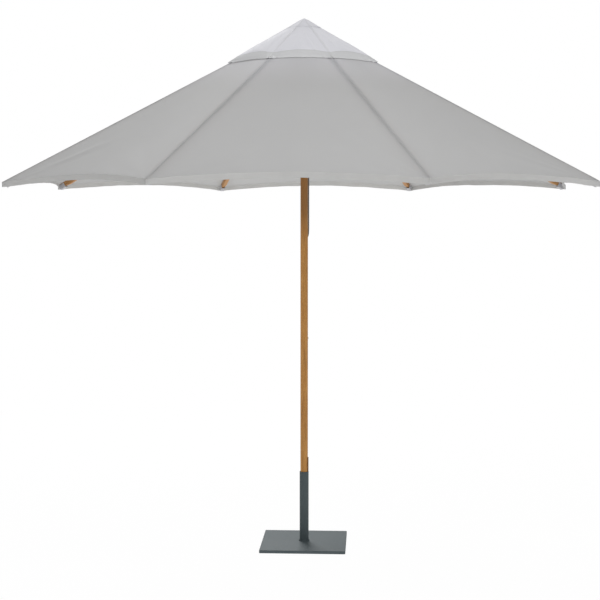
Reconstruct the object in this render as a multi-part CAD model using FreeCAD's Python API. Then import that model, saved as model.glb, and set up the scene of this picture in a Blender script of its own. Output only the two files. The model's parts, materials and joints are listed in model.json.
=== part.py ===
import FreeCAD, Part
import math
import os

V = FreeCAD.Vector

# Lengths are millimetres. Z is up, and the origin is on the ground under the pole.

# canopy
rib_count = 8
canopy_radius = 1500.0      # pole axis to a hem corner
corner_height = 1838.0      # hem corner above the ground
canopy_slope = 0.53         # rise per run along a rib
hem_sag = 80.0              # how far a hem curves in between two corners
hem_band = 22.0             # hem turned down below the cloth, in front of the rib ends
vent_radius = 230.0         # inner edge of the main cloth, along a rib
cap_radius = 400.0          # vent cap, along a rib
cap_slope = 0.575
cap_lift = 11.0             # cap above the main cloth at the cap's hem
cap_hem_sag = 16.0
cap_inner_radius = 70.0
crown_radius = 90.0         # patch over the top of the pole
cloth = 1.5
soft_gap = 0.3              # between cloth and what it lies on

# ribs and struts
rib_width = 20.0
rib_depth = 28.0
rib_tip_gap = 22.0          # rib end to hem corner
rib_tip_taper = 60.0
pivot_radius = 50.0         # rib and strut pivots from the pole axis
bracket_distance = 625.0    # hub pivot to bracket, along the rib
bracket_gap = 2.0           # strut below the rib, at the bracket
strut_depth = 22.0
folded_angle = 87.0         # a closed rib below the horizontal
pin_diameter = 5.0
running_gap = 0.05          # radial clearance of a turning pin
side_gap = 0.5              # a rib or strut beside the walls of its slot
cheek = 2.0                 # bracket plate
cheek_gap = 1.0             # a strut beside the bracket plates
cheek_edge = 8.0            # bracket plate round its pin and rivets
rivet_spacing = 24.0

# hub and runner
pin_cover = 12.0            # hub and runner outside their pins' centres
hub_below = 22.0
hub_above = 26.0
runner_half_height = 35.0
runner_gap = 0.5            # runner bore around the pole
turned_edge = 6.0           # chamfer on the hub and the runner
slot_end_gap = 2.0          # slot bottom behind the round end of a rib
pin_hold = 5.0              # length of a pin in the wall on each side of its slot

# pole
pole_diameter = 38.0
pole_joint_height = 1075.0
spigot_diameter = 20.0
spigot_length = 120.0
screw_diameter = 5.0
screw_head = 9.0
screw_head_depth = 3.0
screw_below_joint = 18.0
screw_sunk = 1.0            # screw head let into the pole
screw_tip = 5.0             # end of a hub screw from the pole axis
ferrule_wall = 1.2
ferrule_height = 40.0
ferrule_floor = 3.0

# hoist
rope_diameter = 6.0
rope_gap = 0.3              # rope beside the pole
sheave_drop = 87.0          # sheave below the hub pivots
sheave_width = 10.0
sheave_flange = 2.2         # flange beyond the middle of the rope
sheave_gap = 4.0            # pole slot above and below the sheave
axle_diameter = 8.0
axle_sunk = 1.9             # axle's ends inside the pole's surface
channel_gap = 0.6           # rope in its channel through the runner, at each side
turn_drop = 380.0           # where the tail passes round to the back of the pole, below the runner pivots
turn_span = 66.0
turn_out = 1.7              # rope radii that the tail stands off as it passes round
tail_end_height = 672.0
tail_leaves = 84.0          # where the tail starts to leave the pole, above its end
tail_straight = 36.0        # straight rope above the end knot
knot_diameter = 14.0
knot_length = 18.0
knot_rounding = 2.8
eye_wire = 3.0
eye_width = 11.0
eye_height = 10.0
eye_stand_off = 7.0         # wire from the side of the pole

# base
plate_size = 430.0
plate_thickness = 15.0
plate_corner = 6.0
plate_edge = 1.5
pole_play = 2.0             # pole to the wall of the tube
tube_wall = 2.0
tube_top = 373.0
weld = 5.0
seat_floor = 5.0
seat_rim = 12.0
wedge_gap = 0.3
wedge_head = 73.0
wedge_shank = 118.0
wedge_proud = 3.0
wedge_half_angle = 32.0

overshoot = 1.0             # how far a cut starts and ends outside its solid
bend_share = 0.45           # share of a run that the arc at its end takes up

# worked out from the sizes above
half_gore = math.pi / rib_count
rib_pitch = math.atan(canopy_slope)
pole_radius = pole_diameter / 2
pin_radius = pin_diameter / 2
rope_radius = rope_diameter / 2
rope_line = pole_radius + rope_gap + rope_radius
eye_offset = pole_radius + eye_stand_off
tube_bore = pole_radius + pole_play
tube_radius = tube_bore + tube_wall
hub_radius = pivot_radius + pin_cover
strut_width = rib_width - 2 * cheek_gap
bracket_drop = (rib_depth + strut_depth) / 2 + bracket_gap    # strut pivot below the middle of the rib


def cloth_height(r):
    """Outer face of the main cloth above a rib, at radius r."""
    return corner_height + canopy_slope * (canopy_radius - r)


def cap_height(r):
    """Outer face of the vent cap above a rib, at radius r."""
    return cloth_height(cap_radius) + cap_lift + cap_slope * (cap_radius - r)


def upright(thickness, slope):
    """The height that a sloping gore of this thickness takes up."""
    return thickness * math.hypot(1, slope / math.cos(half_gore))


# the rib's flat top has its two edges just under the cloth, which falls away from the seam
seam_to_rib = upright(cloth, canopy_slope) + soft_gap + canopy_slope * math.tan(half_gore) * rib_width / 2
rib_middle_drop = seam_to_rib + rib_depth / 2 / math.cos(rib_pitch)
hub_pivot_height = cloth_height(pivot_radius) - rib_middle_drop
rib_length = (canopy_radius - rib_tip_gap - pivot_radius) / math.cos(rib_pitch)

# the hub pivot, the bracket pivot and the runner pivot make a triangle with two equal sides
arm_length = math.hypot(bracket_distance, bracket_drop)
arm_pitch = rib_pitch + math.atan(bracket_drop / bracket_distance)
bracket_pivot = V(
    pivot_radius + arm_length * math.cos(arm_pitch),
    0,
    hub_pivot_height - arm_length * math.sin(arm_pitch),
)
runner_pivot_height = hub_pivot_height - 2 * arm_length * math.sin(arm_pitch)
fold_turn = math.radians(folded_angle) - rib_pitch
folded_runner_height = hub_pivot_height - 2 * arm_length * math.sin(arm_pitch + fold_turn)
runner_travel = runner_pivot_height - folded_runner_height
runner_top = runner_pivot_height + runner_half_height

crown_top = cap_height(0) + upright(cloth + soft_gap, cap_slope)
pole_top = crown_top - upright(cloth, cap_slope) - cap_slope * pole_radius / math.cos(half_gore) - soft_gap
pole_foot = plate_thickness + seat_floor
sheave_height = hub_pivot_height - sheave_drop
turn_height = runner_pivot_height - turn_drop


def cylinder(radius, start, end):
    return Part.makeCylinder(radius, (end - start).Length, start, end - start)


def tube(outer, inner, low, high):
    solid = cylinder(outer, V(0, 0, low), V(0, 0, high))
    return solid.cut(cylinder(inner, V(0, 0, low - overshoot), V(0, 0, high + overshoot)))


def block(x, y, z):
    """A box from three (low, high) pairs."""
    size = [high - low for low, high in (x, y, z)]
    return Part.makeBox(*size, V(x[0], y[0], z[0]))


def cross_pin(x, z, length, radius):
    """A cylinder along Y, centred on the rib's plane."""
    return cylinder(radius, V(x, -length / 2, z), V(x, length / 2, z))


def tilted(shape, angle, place):
    """The shape turned about Y, outer end down for a positive angle, then moved to its place."""
    copy = shape.copy()
    copy.rotate(V(0, 0, 0), V(0, 1, 0), math.degrees(angle))
    copy.translate(place)
    return copy


def at_rib(shape, k):
    """The shape made in the XZ plane, turned to rib k."""
    copy = shape.copy()
    copy.rotate(V(0, 0, 0), V(0, 0, 1), math.degrees(half_gore) * (2 * k + 1))
    return copy


def around(shape):
    return [at_rib(shape, k) for k in range(rib_count)]


def save(name, *solids):
    shape = solids[0] if len(solids) == 1 else Part.makeCompound(list(solids))
    shape.exportStep(f"parts/{name}.step")
    print(name, len(solids), round(sum(s.Volume for s in solids)))


# base

def make_base():
    half = plate_size / 2
    plate = block((-half, half), (-half, half), (0, plate_thickness))
    corners = [e for e in plate.Edges if abs(e.tangentAt(0).z) > 0.9]
    plate = plate.makeFillet(plate_corner, corners)
    rim = [e for e in plate.Edges if min(v.Z for v in e.Vertexes) > plate_thickness / 2]
    save("base_plate", plate.makeChamfer(plate_edge, rim))

    bead = Part.makeCone(tube_radius + weld, tube_radius, weld, V(0, 0, plate_thickness))
    bead = bead.cut(cylinder(tube_radius, V(0, 0, 0), V(0, 0, tube_top)))
    sleeve = tube(tube_radius, tube_bore, plate_thickness, tube_top)
    save("base_tube", sleeve.fuse(bead).removeSplitter())


def make_pole_seat():
    """A cup at the bottom of the tube that the pole stands in."""
    outer = tube_bore - wedge_gap
    cup = cylinder(outer, V(0, 0, plate_thickness), V(0, 0, plate_thickness + seat_rim))
    hollow = cylinder(pole_radius + wedge_gap, V(0, 0, pole_foot), V(0, 0, tube_top))
    save("pole_seat", cup.cut(hollow))


def sector(outer, inner, low, high, half_angle):
    """Part of a tube, centred on +X."""
    span = 2 * half_angle
    ring = Part.makeCylinder(outer, high - low, V(0, 0, low), V(0, 0, 1), span)
    ring = ring.cut(cylinder(inner, V(0, 0, low - overshoot), V(0, 0, high + overshoot)))
    ring.rotate(V(0, 0, 0), V(0, 0, 1), -half_angle)
    return ring


def make_pole_wedge():
    inner = pole_radius + wedge_gap
    seat = tube_top + wedge_gap
    shank = sector(tube_bore - wedge_gap, inner, seat - wedge_shank, seat, wedge_half_angle)
    head = sector(inner + wedge_proud, inner, seat, seat + wedge_head, wedge_half_angle)
    save("pole_wedge", shank.fuse(head).removeSplitter())


# pole

def joint_screw():
    """The screw that holds the two halves of the pole on the spigot, its head towards +X."""
    z = pole_joint_height - screw_below_joint
    seat = pole_radius - screw_sunk
    shank = cylinder(screw_diameter / 2, V(-seat, 0, z), V(seat, 0, z))
    head = cylinder(screw_head / 2, V(seat, 0, z), V(seat + screw_head_depth, 0, z))
    return shank.fuse(head)


def hub_screw():
    """One of two screws through the hub into the pole, towards +X."""
    z = hub_pivot_height
    seat = hub_radius - screw_head_depth
    shank = cylinder(screw_diameter / 2, V(screw_tip, 0, z), V(seat, 0, z))
    head = cylinder(screw_head / 2, V(seat, 0, z), V(hub_radius, 0, z))
    return shank.fuse(head)


def opposite(shape):
    copy = shape.copy()
    copy.rotate(V(0, 0, 0), V(0, 0, 1), 180)
    return copy


def sheave_radius():
    return rope_line + sheave_flange


def make_pole():
    screws = [joint_screw(), hub_screw(), opposite(hub_screw())]
    spigot_low = pole_joint_height - spigot_length / 2
    spigot = cylinder(
        spigot_diameter / 2,
        V(0, 0, spigot_low),
        V(0, 0, spigot_low + spigot_length),
    )
    reach = sheave_radius() + sheave_gap
    slot = block(
        (-pole_diameter, pole_diameter),
        (-sheave_width / 2 - side_gap, sheave_width / 2 + side_gap),
        (sheave_height - reach, sheave_height + reach),
    )
    axle = cross_pin(0, sheave_height, pole_diameter - 2 * axle_sunk, axle_diameter / 2)

    upper = cylinder(pole_radius, V(0, 0, pole_joint_height), V(0, 0, pole_top))
    lower = cylinder(pole_radius, V(0, 0, pole_foot), V(0, 0, pole_joint_height))
    foot_top = pole_foot + ferrule_height
    sleeve = tube(pole_radius, pole_radius - ferrule_wall, pole_foot, foot_top)
    floor = cylinder(pole_radius, V(0, 0, pole_foot), V(0, 0, pole_foot + ferrule_floor))
    ferrule = sleeve.fuse(floor).removeSplitter()

    save("pole_upper", upper.cut([slot, axle, spigot, *screws]))
    save("pole_lower", lower.cut([ferrule, spigot, screws[0]]))
    save("pole_spigot", spigot.cut(screws[0]))
    save("pole_ferrule", ferrule)
    save("pole_screws", *screws)
    save("sheave_axle", axle)


def slotted_disc(low, high, bore, slot_width, slot_start):
    """A turned disc round the pole, with a slot for each rib or strut and chamfered edges."""
    profile = [
        V(bore, 0, low),
        V(hub_radius - turned_edge, 0, low),
        V(hub_radius, 0, low + turned_edge),
        V(hub_radius, 0, high - turned_edge),
        V(hub_radius - turned_edge, 0, high),
        V(bore, 0, high),
    ]
    face = Part.Face(Part.makePolygon(profile + profile[:1]))
    disc = face.revolve(V(0, 0, 0), V(0, 0, 1), 360)
    slot = block(
        (slot_start, 2 * hub_radius),
        (-slot_width / 2, slot_width / 2),
        (low - overshoot, high + overshoot),
    )
    return disc.cut(around(slot))


def make_hub():
    slot_width = rib_width + 2 * side_gap
    pins = around(cross_pin(pivot_radius, hub_pivot_height, slot_width + 2 * pin_hold, pin_radius))
    hub = slotted_disc(
        hub_pivot_height - hub_below,
        hub_pivot_height + hub_above,
        pole_radius,
        slot_width,
        pivot_radius - rib_depth / 2 - slot_end_gap,
    )
    save("top_hub", hub.cut([*pins, hub_screw(), opposite(hub_screw())]))
    save("hub_pins", *pins)


def make_crown_patch():
    """A pyramid of cloth over the top of the cap, with its corners over the ribs."""
    base = crown_top - cap_slope * crown_radius
    turns = [half_gore * (2 * k + 1) for k in range(rib_count)]
    rim = [V(crown_radius * math.cos(turn), crown_radius * math.sin(turn), base) for turn in turns]
    pyramid = Part.makeLoft([Part.makePolygon(rim + rim[:1]), Part.Vertex(0, 0, crown_top)], True, True)
    inner = pyramid.copy()
    inner.translate(V(0, 0, -upright(cloth, cap_slope)))
    save("crown_patch", pyramid.cut(inner))


# hoist

def make_sheave():
    radius = sheave_radius()
    wheel = cross_pin(0, sheave_height, sheave_width, radius)
    groove_radius = rope_radius + rope_gap
    groove = Part.makeTorus(rope_line, groove_radius, V(0, 0, sheave_height), V(0, 1, 0))
    mouth = cross_pin(0, sheave_height, 2 * groove_radius, 2 * radius)
    mouth = mouth.cut(cross_pin(0, sheave_height, sheave_width, rope_line))
    bore = cross_pin(0, sheave_height, 2 * sheave_width, axle_diameter / 2 + running_gap)
    save("sheave", wheel.cut([groove, mouth, bore]))


def rounded_path(points):
    """Straight runs through the points, joined by tangent arcs as large as the runs allow."""
    edges = []
    start = points[0]
    for before, corner, after in zip(points, points[1:], points[2:]):
        back = before - corner
        ahead = after - corner
        turn = math.pi - back.getAngle(ahead)
        cut = bend_share * min(back.Length, ahead.Length)
        radius = cut / math.tan(turn / 2)
        print("  bend radius", round(radius))
        back.normalize()
        ahead.normalize()
        first = corner + back * cut
        last = corner + ahead * cut
        inward = back + ahead
        inward.normalize()
        middle = corner + inward * (radius / math.cos(turn / 2) - radius)
        edges.append(Part.LineSegment(start, first).toShape())
        edges.append(Part.Arc(first, middle, last).toShape())
        start = last
    edges.append(Part.LineSegment(start, points[-1]).toShape())
    return Part.Wire(edges)


def swept(path, radius):
    """A round section of this radius, along the path."""
    edge = path.OrderedEdges[0]
    section = Part.Wire(Part.makeCircle(radius, edge.valueAt(0), edge.tangentAt(0)))
    solid = path.makePipeShell([section], True, False)
    straight = path.Length * math.pi * radius**2
    print("  volume over section times length", round(solid.Volume / straight, 4))
    return solid


def tail_points():
    """The tail comes down the right of the pole, passes round to the back, and ends in a knot."""
    low_turn = turn_height - turn_span / 2
    beside = (rope_line + turn_out * rope_radius) * math.sqrt(0.5)
    knot_line = pole_radius + knot_diameter / 2 + 2 * rope_gap
    return [
        V(rope_line, 0, sheave_height),
        V(rope_line, 0, turn_height + turn_span / 2),
        V(beside, beside, turn_height),
        V(0, rope_line, low_turn),
        V(0, rope_line, tail_end_height + tail_leaves),
        V(0, knot_line, tail_end_height + tail_straight),
        V(0, knot_line, tail_end_height),
    ]


def knot(x, y, top, length):
    body = cylinder(knot_diameter / 2, V(x, y, top - length), V(x, y, top))
    return body.makeFillet(knot_rounding, body.Edges)


def make_ropes():
    eye_top = runner_top + eye_height
    lead_start = eye_top + soft_gap + knot_length
    over = Part.Arc(
        V(-rope_line, 0, sheave_height),
        V(0, 0, sheave_height + rope_line),
        V(rope_line, 0, sheave_height),
    )
    up = Part.LineSegment(V(-rope_line, 0, lead_start), V(-rope_line, 0, sheave_height))
    save("hoist_rope", swept(Part.Wire([up.toShape(), over.toShape()]), rope_radius))
    knot_line = pole_radius + knot_diameter / 2 + rope_gap
    save("rope_knot", knot(-knot_line, 0, lead_start, knot_length))

    tail = tail_points()
    save("rope_tail", swept(rounded_path(tail), rope_radius))
    save("rope_end_knot", knot(0, tail[-1].y, tail_end_height, knot_length))


# runner

def make_runner():
    low = runner_pivot_height - runner_half_height
    slot_width = strut_width + 2 * side_gap
    pins = around(cross_pin(pivot_radius, runner_pivot_height, slot_width + 2 * pin_hold, pin_radius))
    runner = slotted_disc(
        low,
        runner_top,
        pole_radius + runner_gap,
        slot_width,
        pivot_radius - strut_depth / 2 - slot_end_gap,
    )
    half = rope_radius + channel_gap
    reach = rope_line + half
    side = (-half, half)
    height = (low - overshoot, runner_top + overshoot)
    channels = [block((0, reach), side, height), block(side, (0, reach), height)]
    save("runner", runner.cut([*pins, *channels]))
    save("runner_pins", *pins)


def make_rope_eye():
    """A wire staple on top of the runner that the rope is tied to."""
    half = (eye_width - eye_wire) / 2
    shoulder = runner_top + eye_height - eye_wire / 2 - half
    points = [
        V(-eye_offset, -half, runner_top),
        V(-eye_offset, -half, shoulder),
        V(-eye_offset, 0, shoulder + half),
        V(-eye_offset, half, shoulder),
        V(-eye_offset, half, runner_top),
    ]
    wire = Part.Wire(
        [
            Part.LineSegment(points[0], points[1]).toShape(),
            Part.Arc(*points[1:4]).toShape(),
            Part.LineSegment(points[3], points[4]).toShape(),
        ]
    )
    save("rope_eye", swept(wire, eye_wire / 2))


# ribs, brackets, struts and cloth

def make_rib():
    """A rib along +X from its hub pivot at the origin, still level."""
    half = rib_depth / 2
    outline = Part.Wire(
        [
            Part.LineSegment(V(0, 0, half), V(rib_length, 0, half)).toShape(),
            Part.LineSegment(V(rib_length, 0, half), V(rib_length, 0, 0)).toShape(),
            Part.LineSegment(V(rib_length, 0, 0), V(rib_length - rib_tip_taper, 0, -half)).toShape(),
            Part.LineSegment(V(rib_length - rib_tip_taper, 0, -half), V(0, 0, -half)).toShape(),
            Part.Arc(V(0, 0, -half), V(-half, 0, 0), V(0, 0, half)).toShape(),
        ]
    )
    face = Part.Face(outline)
    face.translate(V(0, -rib_width / 2, 0))
    rib = face.extrude(V(0, rib_width, 0))
    pivot = cross_pin(0, 0, 2 * rib_width, pin_radius + running_gap)
    return rib.cut([pivot, *bracket_rivets()])


def bracket_rivets():
    length = rib_width + 2 * cheek
    places = (bracket_distance - rivet_spacing / 2, bracket_distance + rivet_spacing / 2)
    return [cross_pin(x, 0, length, pin_radius) for x in places]


def bracket_cheek(side):
    """A steel plate on one side of the rib: wide at the rivets, and narrow round the strut's pin."""
    far = rivet_spacing / 2 + cheek_edge
    high = cheek_edge
    low = bracket_drop + cheek_edge
    outline = [
        V(-far, 0, high),
        V(far, 0, high),
        V(far, 0, -high),
        V(cheek_edge, 0, -low),
        V(-cheek_edge, 0, -low),
        V(-far, 0, -high),
    ]
    face = Part.Face(Part.makePolygon(outline + outline[:1]))
    face.translate(V(bracket_distance, -cheek / 2 + side * (rib_width + cheek) / 2, 0))
    return face.extrude(V(0, cheek, 0))


def make_bracket():
    """Two cheeks riveted to the rib, and the pin between them that the strut turns on."""
    pin = cross_pin(bracket_distance, -bracket_drop, rib_width + 2 * cheek, pin_radius)
    rivets = bracket_rivets()
    cheeks = [bracket_cheek(side).cut([pin, *rivets]) for side in (-1, 1)]
    return Part.makeCompound([*cheeks, pin, *rivets])


def make_strut():
    """A strut along +X from its runner pivot at the origin, still level."""
    half = strut_depth / 2
    bar = block((0, arm_length), (-strut_width / 2, strut_width / 2), (-half, half))
    ends = [cross_pin(x, 0, strut_width, half) for x in (0, arm_length)]
    pivots = [cross_pin(x, 0, 2 * strut_width, pin_radius + running_gap) for x in (0, arm_length)]
    return bar.fuse(ends).removeSplitter().cut(pivots)


def hem_line(height, outer, sag, side):
    """The hem of a gore from the rib it shares on this side, the gore's inward normal, and its way up."""
    width = 2 * half_gore * side
    corners = [V(outer * math.cos(turn), outer * math.sin(turn), height(outer)) for turn in (0, width)]
    middle = (corners[0] + corners[1]) / 2
    upward = V(0, 0, height(0)) - middle
    upward.normalize()
    inward = (corners[0] - middle).cross(upward)
    inward.normalize()
    if inward.z > 0:
        inward = inward * -1
    return Part.Arc(corners[0], middle + upward * sag, corners[1]).toShape(), inward, upward


def own_half(gore, outer, side):
    """The half of a gore beside this rib, clear of the other half and of the next rib's by half a gap."""
    edge = soft_gap / 2
    reach = 2 * outer
    corner = V(edge / math.tan(half_gore / 2), edge * side, 0)
    keep = [
        corner,
        corner + V(reach, 0, 0),
        corner + V(math.cos(half_gore), math.sin(half_gore) * side, 0) * reach,
        corner,
    ]
    prism = Part.Face(Part.makePolygon(keep)).extrude(V(0, 0, 2 * corner_height))
    return gore.common(prism)


def face_between(first, second):
    """A face inside two opposite edges and the straight lines between their ends."""
    start, end = [
        Part.LineSegment(first.Vertexes[k].Point, second.Vertexes[k].Point).toShape() for k in (0, 1)
    ]
    return Part.Face(Part.Wire([first, end, second, start]))


def half_plate(height, inner, outer, sag, side):
    """Half of a gore, from the seam over a rib to the middle of the gore, as a flat plate."""
    hem, inward, _ = hem_line(height, outer, sag, side)
    width = 2 * half_gore * side
    ends = [V(inner * math.cos(turn), inner * math.sin(turn), height(inner)) for turn in (0, width)]
    gore = face_between(hem, Part.LineSegment(*ends).toShape()).extrude(inward * cloth)
    return own_half(gore, outer, side)


def half_band(side):
    """The hem of half a gore, turned down below the cloth."""
    hem, inward, upward = hem_line(cloth_height, canopy_radius, hem_sag, side)
    inner = hem.copy()
    inner.translate(upward * cloth)
    strip = face_between(hem, inner)
    strip.translate(inward * cloth)
    return own_half(strip.extrude(V(0, 0, -hem_band)), canopy_radius, side)


def make_canopy():
    """The cloth that one rib carries: half of the gore on each side of it, and the same of the cap."""
    plates = []
    for side in (-1, 1):
        plates.append(half_plate(cloth_height, vent_radius, canopy_radius, hem_sag, side))
        plates.append(half_band(side))
        plates.append(half_plate(cap_height, cap_inner_radius, cap_radius, cap_hem_sag, side))
    return Part.makeCompound([s for plate in plates for s in plate.Solids])


def make_arms():
    hub_pivot = V(pivot_radius, 0, hub_pivot_height)
    runner_pivot = V(pivot_radius, 0, runner_pivot_height)
    pieces = {
        "rib": tilted(make_rib(), rib_pitch, hub_pivot),
        "rib_bracket": tilted(make_bracket(), rib_pitch, hub_pivot),
        "strut": tilted(make_strut(), -arm_pitch, runner_pivot),
        "canopy": make_canopy(),
    }
    for name, shape in pieces.items():
        for k in range(rib_count):
            save(f"{name}_{k + 1}", *at_rib(shape, k).Solids)


def print_joints():
    """Places and travels that the joints use."""
    print("hub pivot", round(pivot_radius, 6), round(hub_pivot_height, 6))
    print("bracket pivot", round(bracket_pivot.x, 6), round(bracket_pivot.z, 6))
    print("runner pivot", round(pivot_radius, 6), round(runner_pivot_height, 6))
    print("fold", round(math.degrees(fold_turn), 6), "travel", round(runner_travel, 6))
    print("sheave turn per millimetre", round(1 / rope_line, 6), "height", round(sheave_height, 6))
    print("rope eye", round(runner_top + eye_height, 6), "crown", round(crown_top, 3))


os.makedirs("parts", exist_ok=True)
make_base()
make_pole_seat()
make_pole_wedge()
make_pole()
make_hub()
make_crown_patch()
make_sheave()
make_ropes()
make_runner()
make_rope_eye()
make_arms()
print_joints()
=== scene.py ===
import json
import math
import random

import bmesh
import bpy
from mathutils import Matrix, Vector, noise


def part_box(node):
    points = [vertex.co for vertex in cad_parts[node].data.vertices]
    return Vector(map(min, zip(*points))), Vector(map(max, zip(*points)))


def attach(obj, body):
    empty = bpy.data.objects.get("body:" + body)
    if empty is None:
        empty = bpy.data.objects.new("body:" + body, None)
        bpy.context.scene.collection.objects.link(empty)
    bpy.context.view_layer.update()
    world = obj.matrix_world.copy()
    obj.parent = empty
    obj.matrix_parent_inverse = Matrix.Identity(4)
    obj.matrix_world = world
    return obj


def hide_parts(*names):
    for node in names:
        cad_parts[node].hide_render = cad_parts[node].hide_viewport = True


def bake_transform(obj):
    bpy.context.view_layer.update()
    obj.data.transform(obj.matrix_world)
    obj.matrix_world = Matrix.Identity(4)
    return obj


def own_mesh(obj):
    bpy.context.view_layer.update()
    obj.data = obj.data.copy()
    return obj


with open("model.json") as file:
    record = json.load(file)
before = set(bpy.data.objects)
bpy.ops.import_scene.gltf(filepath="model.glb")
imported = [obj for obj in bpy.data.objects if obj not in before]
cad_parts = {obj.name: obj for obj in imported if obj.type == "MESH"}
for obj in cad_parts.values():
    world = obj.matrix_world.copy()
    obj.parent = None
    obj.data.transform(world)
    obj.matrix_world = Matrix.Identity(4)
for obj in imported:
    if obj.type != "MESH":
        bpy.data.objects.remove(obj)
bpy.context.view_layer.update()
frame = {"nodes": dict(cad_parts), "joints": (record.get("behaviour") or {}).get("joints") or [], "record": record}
collection = bpy.context.scene.collection
slotOf = {part["node"]: part["material_slot"] for part in frame["record"]["subparts"]}
jointPlace = {joint["name"]: Vector(joint.get("pos_m") or (0, 0, 0)) for joint in frame["joints"]}
foldTurn = math.radians(next(j["range_deg"][1] for j in frame["joints"] if j["name"] == "canopy_fold"))

# Everything is in metres. Rib 1 stands 22.5 degrees from +X, and the others follow anticlockwise.
ribCount = 8
halfGore = math.pi / ribCount


def inRibPlane(jointName):  # a pivot of rib 1 as radius and height
    place = jointPlace[jointName]
    return Vector((math.hypot(place.x, place.y), 0, place.z))


hubPivot = inRibPlane("canopy_fold")
bracketPivot = inRibPlane("strut_1_hinge")
runnerPivot = inRibPlane("runner_level")
sheaveHeight = jointPlace["sheave_turn"].z


def ribMatrix(rib):  # turns a shape made in the XZ plane to a rib
    return Matrix.Rotation(halfGore * (2 * rib + 1), 4, "Z")


def smooth(value, low, high):
    share = min(1.0, max(0.0, (value - low) / (high - low)))
    return share * share * (3 - 2 * share)


# camera

view = {
    "place": (0.339, -6.91, 1.739),
    "tilt": math.pi / 2 - 0.0704,
    "turn": 0.0521,
    "lens": 82.1,
}


def makeCamera():
    camera = bpy.data.objects.new("camera", bpy.data.cameras.new("camera"))
    camera.location = view["place"]
    camera.rotation_euler = (view["tilt"], 0, view["turn"])
    camera.data.lens = view["lens"]
    camera.data.clip_end = 200
    collection.objects.link(camera)
    bpy.context.scene.camera = camera


# shaders

class Paint:  # one socket of a shader, so that sums on values read as sums
    def __init__(self, tree, socket=None):
        self.tree = tree
        self.socket = socket

    def node(self, kind, settings=None, values=None, output=0):
        made = self.tree.nodes.new(kind)
        for key, value in (settings or {}).items():
            if key == "stops":
                ramp = made.color_ramp
                while len(ramp.elements) < len(value):
                    ramp.elements.new(0.5)
                for element, (place, colour) in zip(ramp.elements, value):
                    element.position = place
                    element.color = (*colour, 1)
            else:
                setattr(made, key, value)
        for key, value in (values or {}).items():
            if isinstance(value, Paint):
                self.tree.links.new(value.socket, made.inputs[key])
            else:
                made.inputs[key].default_value = value
        return Paint(self.tree, made.outputs[output]) if made.outputs else made

    def out(self, name):  # another output of the same node
        return Paint(self.tree, self.socket.node.outputs[name])

    def maths(self, operation, *terms):
        return self.node("ShaderNodeMath", {"operation": operation}, dict(enumerate(terms)))

    def __add__(self, other):
        return self.maths("ADD", self, other)

    def __radd__(self, other):
        return self.maths("ADD", other, self)

    def __sub__(self, other):
        return self.maths("SUBTRACT", self, other)

    def __rsub__(self, other):
        return self.maths("SUBTRACT", other, self)

    def __mul__(self, other):
        return self.maths("MULTIPLY", self, other)

    def sine(self):
        return self.maths("SINE", self)

    def size(self):
        return self.maths("ABSOLUTE", self)

    def ramp(self, low, high):  # 0 below low, 1 above high, smooth between
        return self.node(
            "ShaderNodeMapRange",
            {"interpolation_type": "SMOOTHSTEP"},
            {"Value": self, "From Min": low, "From Max": high},
        )

    def line(self, middle, halfWidth):  # 1 on a line, 0 away from it
        return 1 - (self - middle).size().ramp(0.4 * halfWidth, halfWidth)

    def scaled(self, scale):  # a vector stretched along its axes
        return self.node("ShaderNodeMapping", {"vector_type": "POINT"}, {"Vector": self, "Scale": scale})

    def cloud(self, scale, detail=3.0, roughness=0.5):  # noise on a vector
        values = {"Vector": self, "Scale": scale, "Detail": detail, "Roughness": roughness}
        return self.node("ShaderNodeTexNoise", {"noise_dimensions": "3D"}, values)

    def tint(self, first, second):  # mixes two colours by this value
        return self.node("ShaderNodeMix", {"data_type": "RGBA"}, {0: self, 6: first, 7: second}, 2)


def newMaterial(name):
    material = bpy.data.materials.new(name)
    material.use_nodes = True
    material.node_tree.nodes.clear()
    return material, Paint(material.node_tree)


def surface(paint, height=None, throughLight=0.0, throughColour=None, **inputs):
    values = {key.replace("_", " "): value for key, value in inputs.items()}
    if height is not None:  # metres
        bump = {"Strength": 1.0, "Distance": 1.0, "Height": height}
        values["Normal"] = paint.node("ShaderNodeBump", None, bump)
    shader = paint.node("ShaderNodeBsdfPrincipled", None, values)
    if throughLight:
        glow = paint.node("ShaderNodeBsdfTranslucent", None, {"Color": throughColour})
        shader = paint.node("ShaderNodeMixShader", None, {0: throughLight, 1: shader, 2: glow})
    paint.node("ShaderNodeOutputMaterial", None, {"Surface": shader})


def rgb(red, green, blue):  # screen values from 0 to 255 as a linear colour
    channels = [c / 255 for c in (red, green, blue)]
    linear = [c / 12.92 if c < 0.04045 else ((c + 0.055) / 1.055) ** 2.4 for c in channels]
    return (*linear, 1)


cloth = {
    "thread": 0.0011,
    "stitch": 0.004,         # from one stitch to the next
    "stitchWidth": 0.0008,
    "hemStitchIn": 0.0013,   # a hem's stitching from the hem's inner edge
    "seamStitchAt": 0.0042,  # a seam's stitching from the seam
    "stitching": rgb(214, 213, 208),
    # painted shade in the grooves beside the stitching
    "groove": rgb(120, 122, 122),
    "paintedLightFrom": 0.8,         # distance from the hem where painted light starts to brighten the cloth
    "paintedLightTo": 1.35,
}
mainCloth = {
    "colour": rgb(196, 196, 197),
    "shade": rgb(184, 184, 185),
    "hem": rgb(214, 214, 213),
    "upper": rgb(222, 222, 228),   # painted light: paler cloth beside the vent
    "crease": 0.0009,
    "throughShare": 0.4,
    "hemWidth": 0.0285,
    "through": rgb(228, 228, 226),
}
# a lighter copy of the main cloth: painted light on the cap; its darker hem is painted shade
capCloth = {
    "colour": rgb(232, 232, 237),
    "shade": rgb(206, 206, 212),
    "hem": rgb(196, 197, 196),
    "crease": 0.0026,
    "throughShare": 0.08,
    "hemWidth": 0.052,
    "through": rgb(226, 226, 224),
}


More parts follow.
